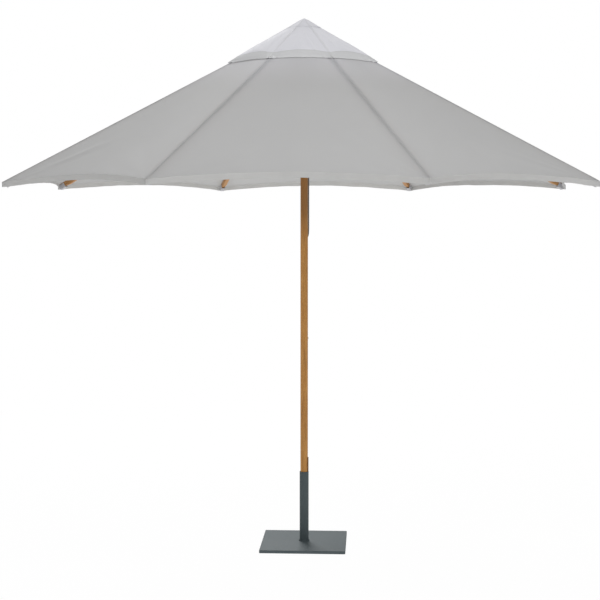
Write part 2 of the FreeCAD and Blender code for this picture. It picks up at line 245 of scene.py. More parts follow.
def clothMaterial(name, look):
    material, paint = newMaterial(name)
    uv = paint.node("ShaderNodeUVMap", {"uv_map": "surface"})
    across = paint.node("ShaderNodeSeparateXYZ", None, {"Vector": uv})
    along = across.out("Y")
    hem = paint.node("ShaderNodeAttribute", {"attribute_name": "hemDistance"}, output=2)
    seam = paint.node("ShaderNodeAttribute", {"attribute_name": "seamDistance"}, output=2)

    turns = 2 * math.pi / cloth["thread"]
    weave = (across * turns).sine() * (along * turns).sine()
    warp = uv.scaled((900, 30, 1)).cloud(1.0)
    weft = uv.scaled((30, 900, 1)).cloud(1.0)
    mottle = uv.cloud(3.5, 4.0)
    creases = uv.cloud(16.0, 5.0, 0.6)

    stitchTurns = 2 * math.pi / cloth["stitch"]
    hemDash = (across * stitchTurns).sine().ramp(-0.5, 0.2)
    seamDash = (along * stitchTurns).sine().ramp(-0.5, 0.2)
    stitchedAt = look["hemWidth"] - cloth["hemStitchIn"]
    hemStitch = hem.line(stitchedAt, cloth["stitchWidth"]) * hemDash
    seamStitch = seam.line(cloth["seamStitchAt"], cloth["stitchWidth"]) * seamDash
    hemGroove = hem.line(stitchedAt, 0.0035)
    seamGroove = seam.line(cloth["seamStitchAt"], 0.0025)
    doubled = 1 - hem.ramp(look["hemWidth"] - 0.001, look["hemWidth"])

    shade = (warp + weft) * 0.3 + mottle * 0.5 - 0.05
    colour = shade.tint(look["shade"], look["colour"])
    # painted light: the cloth brightens towards the vent
    if "upper" in look:
        fade = along.ramp(cloth["paintedLightFrom"], cloth["paintedLightTo"])
        colour = (fade * 0.85).tint(colour, look["upper"])
    colour = (doubled * 0.7).tint(colour, look["hem"])
    # painted shade along the hem and seam grooves
    colour = (hemGroove * 0.2 + seamGroove * 0.1).tint(colour, cloth["groove"])
    colour = (hemStitch + seamStitch).tint(colour, cloth["stitching"])
    height = weave * 0.00003 + creases * look["crease"] + (hemStitch + seamStitch) * 0.0003
    height = height - hemGroove * 0.0004 - seamGroove * 0.0003
    surface(
        paint,
        height,
        throughLight=look["throughShare"],
        throughColour=look["through"],
        Base_Color=colour,
        Roughness=0.86 + mottle * 0.1,
        Sheen_Weight=0.15,
        Sheen_Roughness=0.5,
        Specular_IOR_Level=0.25,
    )
    return material


def woodMaterial(name, look, coordinates):
    material, paint = newMaterial(name)
    if coordinates == "grain":  # kept on the piece, with X along its length
        place = paint.node("ShaderNodeAttribute", {"attribute_name": "grain"}, output=1)
        stretch = (1, 9, 9)
        fine = (6, 260, 260)
    else:
        place = paint.node("ShaderNodeTexCoord", None, None, "Object")
        stretch = (9, 9, 1)
        fine = (260, 260, 6)
    bands = place.scaled(stretch).cloud(look["bands"], 4.0, 0.55)
    streaks = place.scaled(stretch).cloud(look["bands"] * 6, 6.0, 0.65)
    pores = place.scaled(fine).cloud(1.0, 3.0, 0.6)
    broad = place.cloud(2.2, 2.0)
    tone = bands * 0.5 + streaks * 0.3 + broad * 0.25 - 0.02
    colour = tone.node("ShaderNodeValToRGB", {"stops": look["stops"]}, {"Fac": tone})
    lines = pores.ramp(0.56, 0.68)
    colour = (lines * 0.55).tint(colour, look["pore"])
    if "shaded" in look:
        low, high, share = look["shaded"]
        height = paint.node("ShaderNodeSeparateXYZ", None, {"Vector": place}).out("Z")
        colour = (height.ramp(low, high) * share).tint(colour, look["pore"])
    surface(
        paint,
        lines * -0.00012 + streaks * 0.0001,
        Base_Color=colour,
        Roughness=look["roughness"] + lines * 0.2 + bands * 0.1,
        Coat_Weight=look["coat"],
        Coat_Roughness=0.25,
        Specular_IOR_Level=0.35,
    )
    return material


def metalMaterial(name, look):
    material, paint = newMaterial(name)
    place = paint.node("ShaderNodeTexCoord", None, None, "Object")
    grain = place.cloud(look["grain"], 5.0, 0.6)
    patches = place.cloud(9.0, 4.0)
    scratches = place.scaled((1, 40, 12)).cloud(18.0, 2.0).ramp(0.62, 0.72)
    colour = patches.tint(look["dark"], look["light"])
    colour = (scratches * look["wear"]).tint(colour, look["worn"])
    surface(
        paint,
        grain * look["relief"],
        Base_Color=colour,
        Metallic=look["metallic"],
        Specular_IOR_Level=0.25,
        Roughness=look["roughness"] + patches * 0.12 - scratches * 0.08,
    )
    return material


def plasticMaterial(name, colour, worn):
    material, paint = newMaterial(name)
    place = paint.node("ShaderNodeTexCoord", None, None, "Object")
    grain = place.cloud(700.0, 2.0)
    dust = place.cloud(40.0, 4.0)
    surface(paint, grain * 0.00004, Base_Color=(dust * 0.6).tint(colour, worn), Roughness=0.45 + dust * 0.2)
    return material


braid = {
    "strands": 4,
    "lay": 0.011,            # length of one twist
    "dark": rgb(58, 52, 48),
    "light": rgb(122, 112, 102),
    "relief": 0.00045,
}


def ropeMaterial():
    material, paint = newMaterial("braidedRope")
    uv = paint.node("ShaderNodeUVMap", {"uv_map": "surface"})
    around = paint.node("ShaderNodeSeparateXYZ", None, {"Vector": uv})
    along = around.out("Y")
    strands = 2 * math.pi * braid["strands"]
    lay = 2 * math.pi / braid["lay"]
    right = (around * strands + along * lay).sine()
    left = (around * strands - along * lay).sine()
    plait = right * left
    fibres = uv.scaled((60, 900, 1)).cloud(1.0)
    # painted shade: darker in the hollows of the braid, lighter on its raised strands
    colour = (plait.ramp(-0.9, 0.4) * 0.7 + fibres * 0.3).tint(braid["dark"], braid["light"])
    surface(
        paint,
        plait * braid["relief"] + fibres * 0.0001,
        Base_Color=colour,
        Roughness=0.85 + fibres * 0.1,
        Sheen_Weight=0.2,
    )
    return material


poleWood = {
    "stops": [(0.2, rgb(138, 88, 36)[:3]), (0.45, rgb(184, 128, 60)[:3]), (0.75, rgb(212, 158, 86)[:3])],
    "pore": rgb(100, 62, 28),
    "shaded": (1.5, 1.74, 0.6),    # darker under the canopy: from and to this height, and how much
    "bands": 7.0,
    "roughness": 0.42,
    "coat": 0.06,
}
ribWood = {
    "stops": [(0.2, rgb(136, 92, 52)[:3]), (0.45, rgb(178, 130, 80)[:3]), (0.75, rgb(202, 158, 106)[:3])],
    "pore": rgb(104, 68, 38),
    "bands": 9.0,
    "roughness": 0.5,
    "coat": 0.1,
}
wedgeWood = {
    "stops": [(0.2, rgb(92, 60, 34)[:3]), (0.45, rgb(120, 80, 46)[:3]), (0.75, rgb(142, 100, 62)[:3])],
    "pore": rgb(70, 44, 26),
    "bands": 12.0,
    "roughness": 0.6,
    "coat": 0.0,
}
coatedSteel = {
    "dark": rgb(75, 85, 88),
    "light": rgb(88, 98, 101),
    "worn": rgb(104, 112, 114),
    "wear": 0.2,
    "grain": 900.0,
    "relief": 0.00006,
    "metallic": 0.0,
    "roughness": 0.56,
}
zincSteel = {
    "dark": rgb(140, 140, 138),
    "light": rgb(186, 186, 182),
    "worn": rgb(206, 204, 198),
    "wear": 0.5,
    "grain": 260.0,
    "relief": 0.00003,
    "metallic": 0.9,
    "roughness": 0.3,
}


def makeMaterials():
    return {
        "canopy_cloth": clothMaterial("wovenCloth", mainCloth),
        "cap_cloth": clothMaterial("wovenCapCloth", capCloth),
        "rib_wood": woodMaterial("ribWood", ribWood, "grain"),
        "pole_wood": woodMaterial("poleWood", poleWood, "object"),
        "hub_wood": woodMaterial("hubWood", ribWood, "object"),
        "wedge_wood": woodMaterial("wedgeWood", wedgeWood, "object"),
        "base_steel": metalMaterial("powderCoatedSteel", coatedSteel),
        "fittings_steel": metalMaterial("zincSteel", zincSteel),
        "pin_steel": metalMaterial("pinSteel", {**zincSteel, "grain": 500.0, "roughness": 0.24}),
        "ferrule_steel": metalMaterial("ferruleSteel", {**zincSteel, "roughness": 0.4}),
        "seat_plastic": plasticMaterial("blackNylon", rgb(34, 34, 35), rgb(60, 60, 61)),
        "sheave_plastic": plasticMaterial("creamNylon", rgb(214, 208, 192), rgb(190, 182, 164)),
        "rope": ropeMaterial(),
    }


# mesh helpers

def gridOf(columns, rows, place):
    # a grid whose vertices go where place(column, row) says, with the surface's own coordinates
    bm = bmesh.new()
    uv = bm.loops.layers.uv.new("surface")
    hem = bm.verts.layers.float.new("hemDistance")
    seam = bm.verts.layers.float.new("seamDistance")
    bmesh.ops.create_grid(bm, x_segments=columns, y_segments=rows, size=1)
    flat = {}
    for vert in bm.verts:
        column = round((vert.co.x + 1) * columns / 2)
        row = round((vert.co.y + 1) * rows / 2)
        vert.co, flat[vert], vert[hem], vert[seam] = place(column, row)
    for face in bm.faces:
        for loop in face.loops:
            loop[uv].uv = flat[loop.vert]
    return bm


def thickened(bm, thickness, upward):
    # gives a sheet its thickness on the side away from upward
    bm.normal_update()
    middle = bm.faces[:][len(bm.faces) // 2]
    if middle.normal.dot(upward) < 0:
        bmesh.ops.reverse_faces(bm, faces=bm.faces)
    outside = {vert.index for vert in bm.verts}
    bm.normal_update()
    normals = [vert.normal.copy() for vert in bm.verts]
    bm.verts.index_update()
    made = bmesh.ops.duplicate(bm, geom=bm.verts[:] + bm.edges[:] + bm.faces[:])
    pairs = made["vert_map"]
    inner = [item for item in made["geom"] if isinstance(item, bmesh.types.BMFace)]
    bm.verts.ensure_lookup_table()
    for index in outside:
        source = bm.verts[index]
        pairs[source].co = source.co - normals[index] * thickness
    bmesh.ops.reverse_faces(bm, faces=inner)
    rims = [edge for edge in bm.edges if edge.is_boundary]
    bmesh.ops.bridge_loops(bm, edges=rims)
    return bm


def finished(name, bm, body, material, nodes=(), sharp=40):
    bmesh.ops.recalc_face_normals(bm, faces=bm.faces)
    for face in bm.faces:
        face.smooth = True
    for edge in bm.edges:
        edge.smooth = edge.is_manifold and edge.calc_face_angle(0) < math.radians(sharp)
    mesh = bpy.data.meshes.new(name)
    bm.to_mesh(mesh)
    bm.free()
    mesh.materials.append(material)
    piece = bpy.data.objects.new(name, mesh)
    collection.objects.link(piece)
    if body:
        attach(piece, body)
    if nodes:
        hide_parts(*nodes)
    return piece


def placed(bm, matrix):
    # keeps the level shape's own coordinates for the wood grain, then puts it in its place
    grain = bm.verts.layers.float_vector.new("grain")
    for vert in bm.verts:
        vert[grain] = vert.co
    bmesh.ops.transform(bm, matrix=matrix, verts=bm.verts)
    return bm


def rounded(bm, width, segments=2, angle=35):
    limit = math.radians(angle)
    edges = [edge for edge in bm.edges if edge.is_manifold and edge.calc_face_angle(0) > limit]
    bmesh.ops.bevel(
        bm,
        geom=edges,
        offset=width,
        offset_type="OFFSET",
        segments=segments,
        profile=0.5,
        affect="EDGES",
        clamp_overlap=True,
        material=-1,
    )
    return bm


def softened(node, width, segments=2):
    # a copy of a hard piece with its sharp edges eased
    bm = bmesh.new()
    bm.from_mesh(frame["nodes"][node].data)
    bmesh.ops.remove_doubles(bm, verts=bm.verts, dist=1e-6)
    bmesh.ops.dissolve_limit(bm, angle_limit=math.radians(0.5), verts=bm.verts, edges=bm.edges)
    return rounded(bm, width, segments)


def turned(profile, steps):
    # a closed outline of radius and height, spun round the pole's axis
    bm = bmesh.new()
    verts = [bm.verts.new((radius, 0, height)) for radius, height in profile]
    edges = [bm.edges.new(pair) for pair in zip(verts, verts[1:] + verts[:1])]
    bmesh.ops.spin(
        bm,
        geom=verts + edges,
        cent=(0, 0, 0),
        axis=(0, 0, 1),
        angle=2 * math.pi,
        steps=steps,
        use_merge=True,
    )
    bmesh.ops.remove_doubles(bm, verts=bm.verts, dist=1e-6)
    return bm


def tubeAlong(points, radius, sides):
    # a round tube whose rings stand square to the line
    tangents = []
    for before, after in zip([points[0], *points[:-1]], [*points[1:], points[-1]]):
        tangents.append((after - before).normalized())
    across = tangents[0].orthogonal().normalized()
    frames = []
    run = 0.0
    for index, point in enumerate(points):
        across = (across - tangents[index] * across.dot(tangents[index])).normalized()
        frames.append((point, across.copy(), tangents[index].cross(across), run))
        if index + 1 < len(points):
            run += (points[index + 1] - point).length

    def place(column, row):
        point, side, other, distance = frames[row]
        turn = 2 * math.pi * column / sides
        where = point + (side * math.cos(turn) + other * math.sin(turn)) * radius
        return where, (column / sides, distance), 1.0, 1.0

    bm = gridOf(sides, len(points) - 1, place)
    bmesh.ops.remove_doubles(bm, verts=bm.verts, dist=radius * 0.01)
    bmesh.ops.holes_fill(bm, edges=bm.edges, sides=0)
    return bm


def splinePoints(route, resolution):
    # the smooth line that a rope follows, read from the route's own spline
    curve = bpy.data.curves.new("route", "CURVE")
    curve.dimensions = "3D"
    curve.resolution_u = resolution
    spline = curve.splines.new("NURBS")
    spline.points.add(len(route) - 1)
    for point, where in zip(spline.points, route):
        point.co = (*where, 1)
    spline.order_u = 3
    spline.use_endpoint_u = True
    carrier = bpy.data.objects.new("route", curve)
    mesh = bpy.data.meshes.new_from_object(carrier)
    points = [vert.co.copy() for vert in mesh.vertices]
    bpy.data.meshes.remove(mesh)
    bpy.data.objects.remove(carrier)
    bpy.data.curves.remove(curve)
    return points


# hoist rope

rope = {
    "radius": 0.003,
    "line": 0.0223,          # middle of the rope from the pole's axis
    "sides": 16,
    "turn": 0.01937,         # x and y of the rope where it passes round to the back
    "turnHeight": runnerPivot.z - 0.38,
    "turnSpan": 0.066,
    "straight": 0.05,        # level runs above and below that turn
    "end": 0.672,
    "endLine": 0.0266,
    "endLean": 0.084,        # height above its end where the rope starts to lean out
    "endUpright": 0.036,     # height above its end where it hangs straight again
    "leadLength": 0.57,
    "tailLength": 1.81,
    "knotStrand": 0.0028,
    "knotTurns": 3,
    "loopHigh": 0.0046,      # the loop through the eye
    "loopWide": 0.0042,
    "loopStrand": 0.0018,
    "loopBelow": 0.0015,     # its middle below the knot
}


def makeKnot(name, node, body, material, eyeLoop):
    # three turns of the rope round itself, with its end tucked in
    low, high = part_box(node)
    middle = (low + high) / 2
    strand = rope["knotStrand"]
    coil = (high.x - low.x) / 2 - strand
    steps = 20 * rope["knotTurns"]
    points = []
    for step in range(steps + 1):
        share = step / steps
        turn = 2 * math.pi * rope["knotTurns"] * share
        height = low.z + strand + (high.z - low.z - 2 * strand) * share
        inward = coil * (1 - 0.35 * smooth(abs(share - 0.5), 0.44, 0.5))
        around = Vector((math.cos(turn), math.sin(turn), 0)) * inward
        points.append(Vector((middle.x, middle.y, height)) + around)
    bm = tubeAlong(points, strand, 12)
    core = [Vector((middle.x, middle.y, height)) for height in (low.z, middle.z, high.z)]
    parts = [tubeAlong(core, rope["radius"], 12)]
    if eyeLoop:  # passes under the wire of the eye below
        ring = []
        for step in range(25):
            turn = 2 * math.pi * step / 24
            wide, high = rope["loopWide"] * math.cos(turn), rope["loopHigh"] * math.sin(turn)
            offset = Vector((wide, 0.0002 * math.sin(turn), high))
            ring.append(Vector((middle.x, middle.y, low.z - rope["loopBelow"])) + offset)
        parts.append(tubeAlong(ring, rope["loopStrand"], 10))
    for part in parts:
        extra = bpy.data.meshes.new("part")
        part.to_mesh(extra)
        part.free()
        bm.from_mesh(extra)
        bpy.data.meshes.remove(extra)
    return finished(name, bm, body, material, [node], sharp=60)


def makeRopes(material):
    line = rope["line"]
    corner = line * math.tan(math.pi / 8)  # the wheel's arc as a polygon of control points
    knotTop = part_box("rope_knot")[1].z
    top = sheaveHeight
    lead = [
        (line, 0, top),
        (line, 0, top + corner),
        (corner, 0, top + line),
        (-corner, 0, top + line),
        (-line, 0, top + corner),
        (-line, 0, top - corner),
        (-line, 0, knotTop),
    ]
    beside = rope["turn"]
    high = rope["turnHeight"] + rope["turnSpan"] / 2
    low = rope["turnHeight"] - rope["turnSpan"] / 2
    tail = [
        (line, 0, top),
        (line, 0, high + rope["straight"]),
        (line, 0, high),
        (beside, beside, rope["turnHeight"]),
        (0, line, low),
        (0, line, low - rope["straight"]),
        (0, line, rope["end"] + rope["endLean"]),
        (0, rope["endLine"], rope["end"] + rope["endUpright"]),
        (0, rope["endLine"], rope["end"]),
    ]
    eyeKnot = makeKnot("eyeKnot", "rope_knot", "rope_knot", material, True)
    endKnot = makeKnot("endKnot", "rope_end_knot", "rope_end", material, False)
    leadPath = splinePoints(lead, 24)
    tailPath = splinePoints(tail, 24)
    leadTube = tubeAlong(leadPath, rope["radius"], rope["sides"])
    tailTube = tubeAlong(tailPath, rope["radius"], rope["sides"])
    leadRope = finished("leadRope", leadTube, None, material, ["hoist_rope"])
    tailRope = finished("tailRope", tailTube, None, material, ["rope_tail"])
    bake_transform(leadRope)
    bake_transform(tailRope)


# canopy

main = {
    "name": "canopy",
    "radius": 1.5,           # pole axis to a hem corner
    "edgeHeight": 1.838,
    "slope": 0.53,           # along a rib
    "inner": 0.23,           # the vent's edge, along a rib
    "hemSag": 0.08,
    "sag": 0.011,            # share of a gore's width
    "billow": 0.0,
    "band": 0.0235,          # hem turned down below the cloth
    "hemDrop": 0.0,
    "hemTurn": 0.03,
    "columns": 44,
    "rows": 84,
    "folds": 5,
    "foldHeight": 0.0022,
    "foldWidth": 0.034,
    "closing": math.radians(20.4),
}
cap = {
    "name": "cap",
    "radius": 0.4,
    "edgeHeight": 2.432,
    "slope": 0.575,
    "inner": 0.07,
    "hemSag": 0.016,
    "sag": 0.0,
    "billow": 0.010,
    "band": 0.0,
    "hemDrop": 0.0045,       # beside a rib, and twice that between ribs
    "hemTurn": 0.075,        # where the edge starts to bend down
    "columns": 34,
    "rows": 44,
    "folds": 6,
    "foldHeight": 0.0022,
    "foldWidth": 0.010,
    "closing": math.radians(20.4),
}
clothThickness = 0.0009
nearSeam = (0.0, 0.0025, 0.0055, 0.0065, 0.0085, 0.013)   # columns beside a seam
nearHem = (
    0.0, 0.0012, 0.004, 0.009, 0.014, 0.0185, 0.0215, 0.0235,     # the turned-down part ends here
    0.0255, 0.0272, 0.0285, 0.0295, 0.032, 0.036, 0.043,
)
midStrip = 0.002             # the last column before the middle of a gore
wrinkle = {
    "gather": 0.0016,        # beside a rib, where the cap's edge bends down
    "slack": 0.0035,         # share of a gore's width
    "hem": 0.0022,
    "seam": 0.0011,
    "fan": 0.0018,           # out of a hem corner
    "felled": 0.0008,        # the doubled cloth of a seam
    "doubled": 0.0006,       # and of a hem
    "edge": 0.0005,
}


def clothHeight(form, radius):
    return form["edgeHeight"] + form["slope"] * (form["radius"] - radius)


def outwardOf(form, side):  # square to the half gore on one side of rib 1
    slope = form["slope"]
    outward = Vector((slope * math.cos(halfGore), side * slope * math.sin(halfGore), math.cos(halfGore)))
    return outward.normalized()


def makeFolds(form, gore):
    # soft folds from the corners and the top of a gore, each a line from one place to another
    draw = random.Random(31 * gore + form["columns"])
    folds = []
    for index in range(form["folds"]):
        fromLeft = index % 2 == 0
        start = draw.uniform(0.02, 0.12)
        end = draw.uniform(0.2, 0.55)
        if not fromLeft:
            start, end = 1 - start, 1 - end
        if form is cap:  # from the top of the cap down beside a rib
            high, low = draw.uniform(0.86, 0.98), draw.uniform(0.15, 0.4)
            start, end = end * 0.6 + 0.2, start * 0.7 + end * 0.3
        else:
            low, high = draw.uniform(0.93, 0.985), draw.uniform(0.55, 0.85)
        height = form["foldHeight"] * draw.uniform(0.5, 1.0) * draw.choice((-1, 1))
        folds.append((start, low, end, high, height, form["foldWidth"] * draw.uniform(0.7, 1.3)))
    return folds


foldsOf = {(form["name"], gore): makeFolds(form, gore) for form in (main, cap) for gore in range(ribCount)}


def relief(form, gore, share, radius, hemGap, seamGap, width):
    # how far the cloth stands out from the flat gore
    middle = math.sin(math.pi * share)
    down = max(0.0, (radius - form["inner"]) / (form["radius"] - form["inner"]))
    out = -form["sag"] * width * middle
    out += form["billow"] * middle * math.sin(math.pi * min(1.0, down / 0.8) ** 1.3 * 0.62)
    if hemGap < form["hemTurn"] and form["hemDrop"]:
        bend = (1 - hemGap / form["hemTurn"]) ** 1.6
        out -= bend * (form["hemDrop"] + (form["hemDrop"] + form["billow"]) * middle ** 0.7)
        gather = math.exp(-((seamGap - 0.028) / 0.02) ** 2) * math.sin(seamGap * 230 + gore)
        out += wrinkle["gather"] * gather * bend
    for start, low, end, high, height, reach in foldsOf[(form["name"], gore)]:
        travel = Vector(((end - start) * width, (high - low) * (form["radius"] - form["inner"])))
        offset = Vector(((share - start) * width, (down - low) * (form["radius"] - form["inner"])))
        along = offset.dot(travel) / travel.length_squared
        away = abs(offset.x * travel.y - offset.y * travel.x) / travel.length
        fade = math.sin(math.pi * min(1.0, max(0.0, along))) ** 0.8
        out += height * fade * math.exp(-((away / reach) ** 2)) * smooth(seamGap, 0.008, 0.05)
    wave = noise.noise(Vector((share * 3.1 + 9 * gore, radius * 2.3, form["slope"] * 10)))
    out += wrinkle["slack"] * width * wave * middle * smooth(seamGap, 0.01, 0.12)
    hemWave = noise.noise(Vector((share * width * 14 + 5 * gore, 0.3, 2.0)))
    if form is main:
        out += wrinkle["hem"] * hemWave * math.exp(-hemGap / 0.05) * smooth(seamGap, 0.01, 0.1)
    seamWave = noise.noise(Vector((radius * 16, 1.7, 3.0 * gore + (share > 0.5))))
    out += wrinkle["seam"] * seamWave * math.exp(-((seamGap - 0.022) / 0.016) ** 2)
    corner = math.hypot(hemGap, seamGap)
    fan = math.sin(math.atan2(seamGap, hemGap + 1e-6) * 16 + gore)
    if form is main:
        out += wrinkle["fan"] * fan * smooth(corner, 0.02, 0.06) * math.exp(-corner / 0.11)
    out += wrinkle["felled"] * (1 - smooth(seamGap, 0.0055, 0.0068))
    out += wrinkle["doubled"] * (1 - smooth(hemGap, 0.0272, 0.0295))
    return out - wrinkle["edge"] * (1 - smooth(hemGap, 0.0, 0.002))


def goreCloth(form, rib, side):
    # half a gore, from the seam over a rib to the middle of the gore
    gore = rib if side > 0 else (rib - 1) % ribCount
    toNext = Vector((-math.sin(halfGore), side * math.cos(halfGore), 0))
    outward = outwardOf(form, side)
    stretch = math.hypot(math.cos(halfGore), form["slope"])    # cloth length per metre of rib radius
    sagRadius = form["hemSag"] / stretch
    columns, rows = form["columns"], form["rows"]

    def hangingFrom(hanging, share, width, gap):  # the turned-down part swings in and out a little
        swing = noise.noise(Vector((share * width * 22, 3.0 * gore, 7.0))) * 0.3 - 0.12
        swing *= smooth(gap, 0.0, 0.05)
        flat = Vector((math.cos(halfGore), side * math.sin(halfGore), 0))
        return flat * (swing * hanging) - Vector((0, 0, hanging))

    def place(column, row):
        innerRow = rows - row                                  # row 0 is the inner edge
        reach = nearHem[min(innerRow, len(nearHem) - 1)]
        hanging = max(0.0, form["band"] - reach)               # how far below the fold of the hem
        near = max(0.0, reach - form["band"]) / stretch
        span = form["radius"] - form["inner"]
        rest = max(0, innerRow - len(nearHem) + 1) / (rows - len(nearHem) + 1)
        roughRadius = form["radius"] - near - (span - near) * rest ** 1.15
        half = roughRadius * math.sin(halfGore)
        if column < len(nearSeam):
            gap = nearSeam[column]
        elif column == columns:
            gap = half
        else:
            share = (column - len(nearSeam) + 1) / (columns - len(nearSeam))
            gap = nearSeam[-1] + (half - midStrip - nearSeam[-1]) * share ** 1.1
        ownShare = gap / (2 * half)
        hemRadius = form["radius"] - sagRadius * 4 * ownShare * (1 - ownShare)
        radius = hemRadius - near - (hemRadius - form["inner"] - near) * rest ** 1.15
        seamPoint = Vector((radius, 0, clothHeight(form, radius)))
        width = 2 * radius * math.sin(halfGore)
        gap = ownShare * width
        hemGap = (hemRadius - radius) * stretch + form["band"] - hanging
        share = ownShare if side > 0 else 1 - ownShare
        out = relief(form, gore, share, radius, hemGap, gap, width)
        where = seamPoint + toNext * gap + outward * out + hangingFrom(hanging, share, width, gap)
        return where, (side * gap, hemGap), hemGap, gap

    bm = gridOf(columns, rows, place)
    thickened(bm, clothThickness, outward)
    bmesh.ops.transform(bm, matrix=ribMatrix(rib), verts=bm.verts)
    return bm


def closingFold(form, side):
    # the plane that half a gore flattens to, so that it meets its neighbour halfway when the ribs close
    middleHem = form["radius"] - form["hemSag"] / math.hypot(math.cos(halfGore), form["slope"])

    def midPoint(radius):
        across = Vector((math.cos(halfGore), side * math.sin(halfGore), 0)) * radius * math.cos(halfGore)
        return across + Vector((0, 0, clothHeight(form, radius)))

    turn = Matrix.Rotation(foldTurn, 3, "Y")
    facing = Vector((-math.sin(halfGore), side * math.cos(halfGore), 0))

    def beyond(point):
        return facing.dot(turn @ (point - hubPivot) + hubPivot)

    anchor = Vector((form["radius"], 0, form["edgeHeight"]))
    inner = midPoint(form["inner"])
    outer = midPoint(middleHem)
    pitch = math.atan(form["slope"])
    inward = Vector((-math.sin(pitch), 0, -math.cos(pitch)))
    wanted = Vector((0, side, 0)) * math.cos(form["closing"]) + inward * math.sin(form["closing"])
    still = ((outer - anchor) * beyond(inner) - (inner - anchor) * beyond(outer)).normalized()
    axis = (wanted - still * wanted.dot(still)).normalized()
    crush = beyond(inner) / (axis.dot(inner - anchor) * facing.dot(turn @ axis))
    return axis, anchor, 1 - crush


def makeCanopy(materials):
    for form, material in ((main, materials["canopy_cloth"]), (cap, materials["cap_cloth"])):
        halfWidth = form["radius"] * math.sin(halfGore)
        length = (form["radius"] - form["inner"]) * math.hypot(math.cos(halfGore), form["slope"])
        area = length * halfWidth * (1 + form["inner"] / form["radius"]) / 2
        area += (form["band"] - form["hemSag"] * 2 / 3) * halfWidth
        for side, word in ((-1, "Right"), (1, "Left")):
            axis, anchor, keep = closingFold(form, side)
            print(form["name"], word, "keeps", round(keep, 3))
            for rib in range(ribCount):
                turn = ribMatrix(rib)
                name = f"{form['name']}{word}_{rib + 1}"
                bm = goreCloth(form, rib, side)
                nodes = [f"canopy_{rib + 1}"]
                piece = finished(name, bm, f"rib_{rib + 1}", material, nodes, sharp=75)
                turn @ axis
                turn @ anchor
                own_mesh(piece)
                length + form["band"]


crown = {
    "radius": 0.09,
    "thickness": 0.0005,
    "columns": 12,           # across each of its gores
    "rows": 20,
    "tip": 0.004,            # radius of the rounded tip
    "rise": 0.0022,          # its middle above the cap
    "rim": 0.0007,           # its rim above the cap
}


def makeCrown(material):
    columns, rows = crown["columns"] * ribCount, crown["rows"]

    def place(column, row):
        gore, step = divmod(column, crown["columns"])
        turn = halfGore * (2 * gore + 1)
        left = Vector((math.cos(turn), math.sin(turn), 0))
        right = Vector((math.cos(turn + 2 * halfGore), math.sin(turn + 2 * halfGore), 0))
        share = step / crown["columns"]
        radius = crown["radius"] * (row / rows) ** 1.2
        width = 2 * radius * math.sin(halfGore)
        gap = min(share, 1 - share) * width
        out = relief(cap, gore % ribCount, share, radius, 1.0, gap, width) * smooth(radius, 0.005, 0.04)
        out += crown["rim"] + (crown["rise"] - crown["rim"]) * (1 - smooth(radius, 0.02, 0.085))
        height = clothHeight(cap, math.hypot(radius, crown["tip"])) + out * math.hypot(1, cap["slope"])
        where = (left + (right - left) * share) * radius + Vector((0, 0, height))
        return where, (share * width, radius), 0.2, gap + 0.02 * (1 - smooth(radius, 0.01, 0.03))

    bm = gridOf(columns, rows, place)
    bmesh.ops.remove_doubles(bm, verts=bm.verts, dist=1e-6)
    thickened(bm, crown["thickness"], Vector((0, 0, 1)))
    piece = finished("crownPatch", bm, "pole", material, ["crown_patch"], sharp=60)


tape = {
    "start": 0.235,
    "end": 1.445,
    "topWidth": 0.022,       # each side of the seam
    "hemWidth": 0.011,
    "below": 0.0011,         # under the outer face of the cloth
    "thickness": 0.0005,
    "columns": 6,
    "rows": 60,
}


def makeTapes(material):
    columns, rows = tape["columns"], tape["rows"]
    for rib in range(ribCount):

        def place(column, row):
            radius = tape["start"] + (tape["end"] - tape["start"]) * row / rows
            share = row / rows
            half = tape["topWidth"] + (tape["hemWidth"] - tape["topWidth"]) * share
            offset = (column / columns * 2 - 1) * half
            side = 1 if offset >= 0 else -1
            toNext = Vector((-math.sin(halfGore), side * math.cos(halfGore), 0))
            seamPoint = Vector((radius, 0, clothHeight(main, radius)))
            where = seamPoint + toNext * abs(offset) - outwardOf(main, side) * tape["below"]
            return where, (offset, radius), 0.2, half - abs(offset) + 0.001

        bm = gridOf(columns, rows, place)
        thickened(bm, tape["thickness"], Vector((0, 0, 1)))
        bmesh.ops.transform(bm, matrix=ribMatrix(rib), verts=bm.verts)
        piece = finished(f"seamTape_{rib + 1}", bm, f"rib_{rib + 1}", material, sharp=70)


# ribs, struts and brackets

bar = {
    "ribWidth": 0.02,
    "ribDepth": 0.028,
    "tipGap": 0.022,         # rib end to hem corner
    "tipTaper": 0.06,
    "strutWidth": 0.018,
    "strutDepth": 0.022,
    "edge": 0.0016,
    "arcSteps": 12,
    "plateEdge": 0.0005,     # of the brackets
}
ribPitch = math.atan(main["slope"])
ribLength = (main["radius"] - bar["tipGap"] - hubPivot.x) / math.cos(ribPitch)
armLength = (bracketPivot - hubPivot).length
strutPitch = math.atan2(bracketPivot.z - runnerPivot.z, bracketPivot.x - runnerPivot.x)


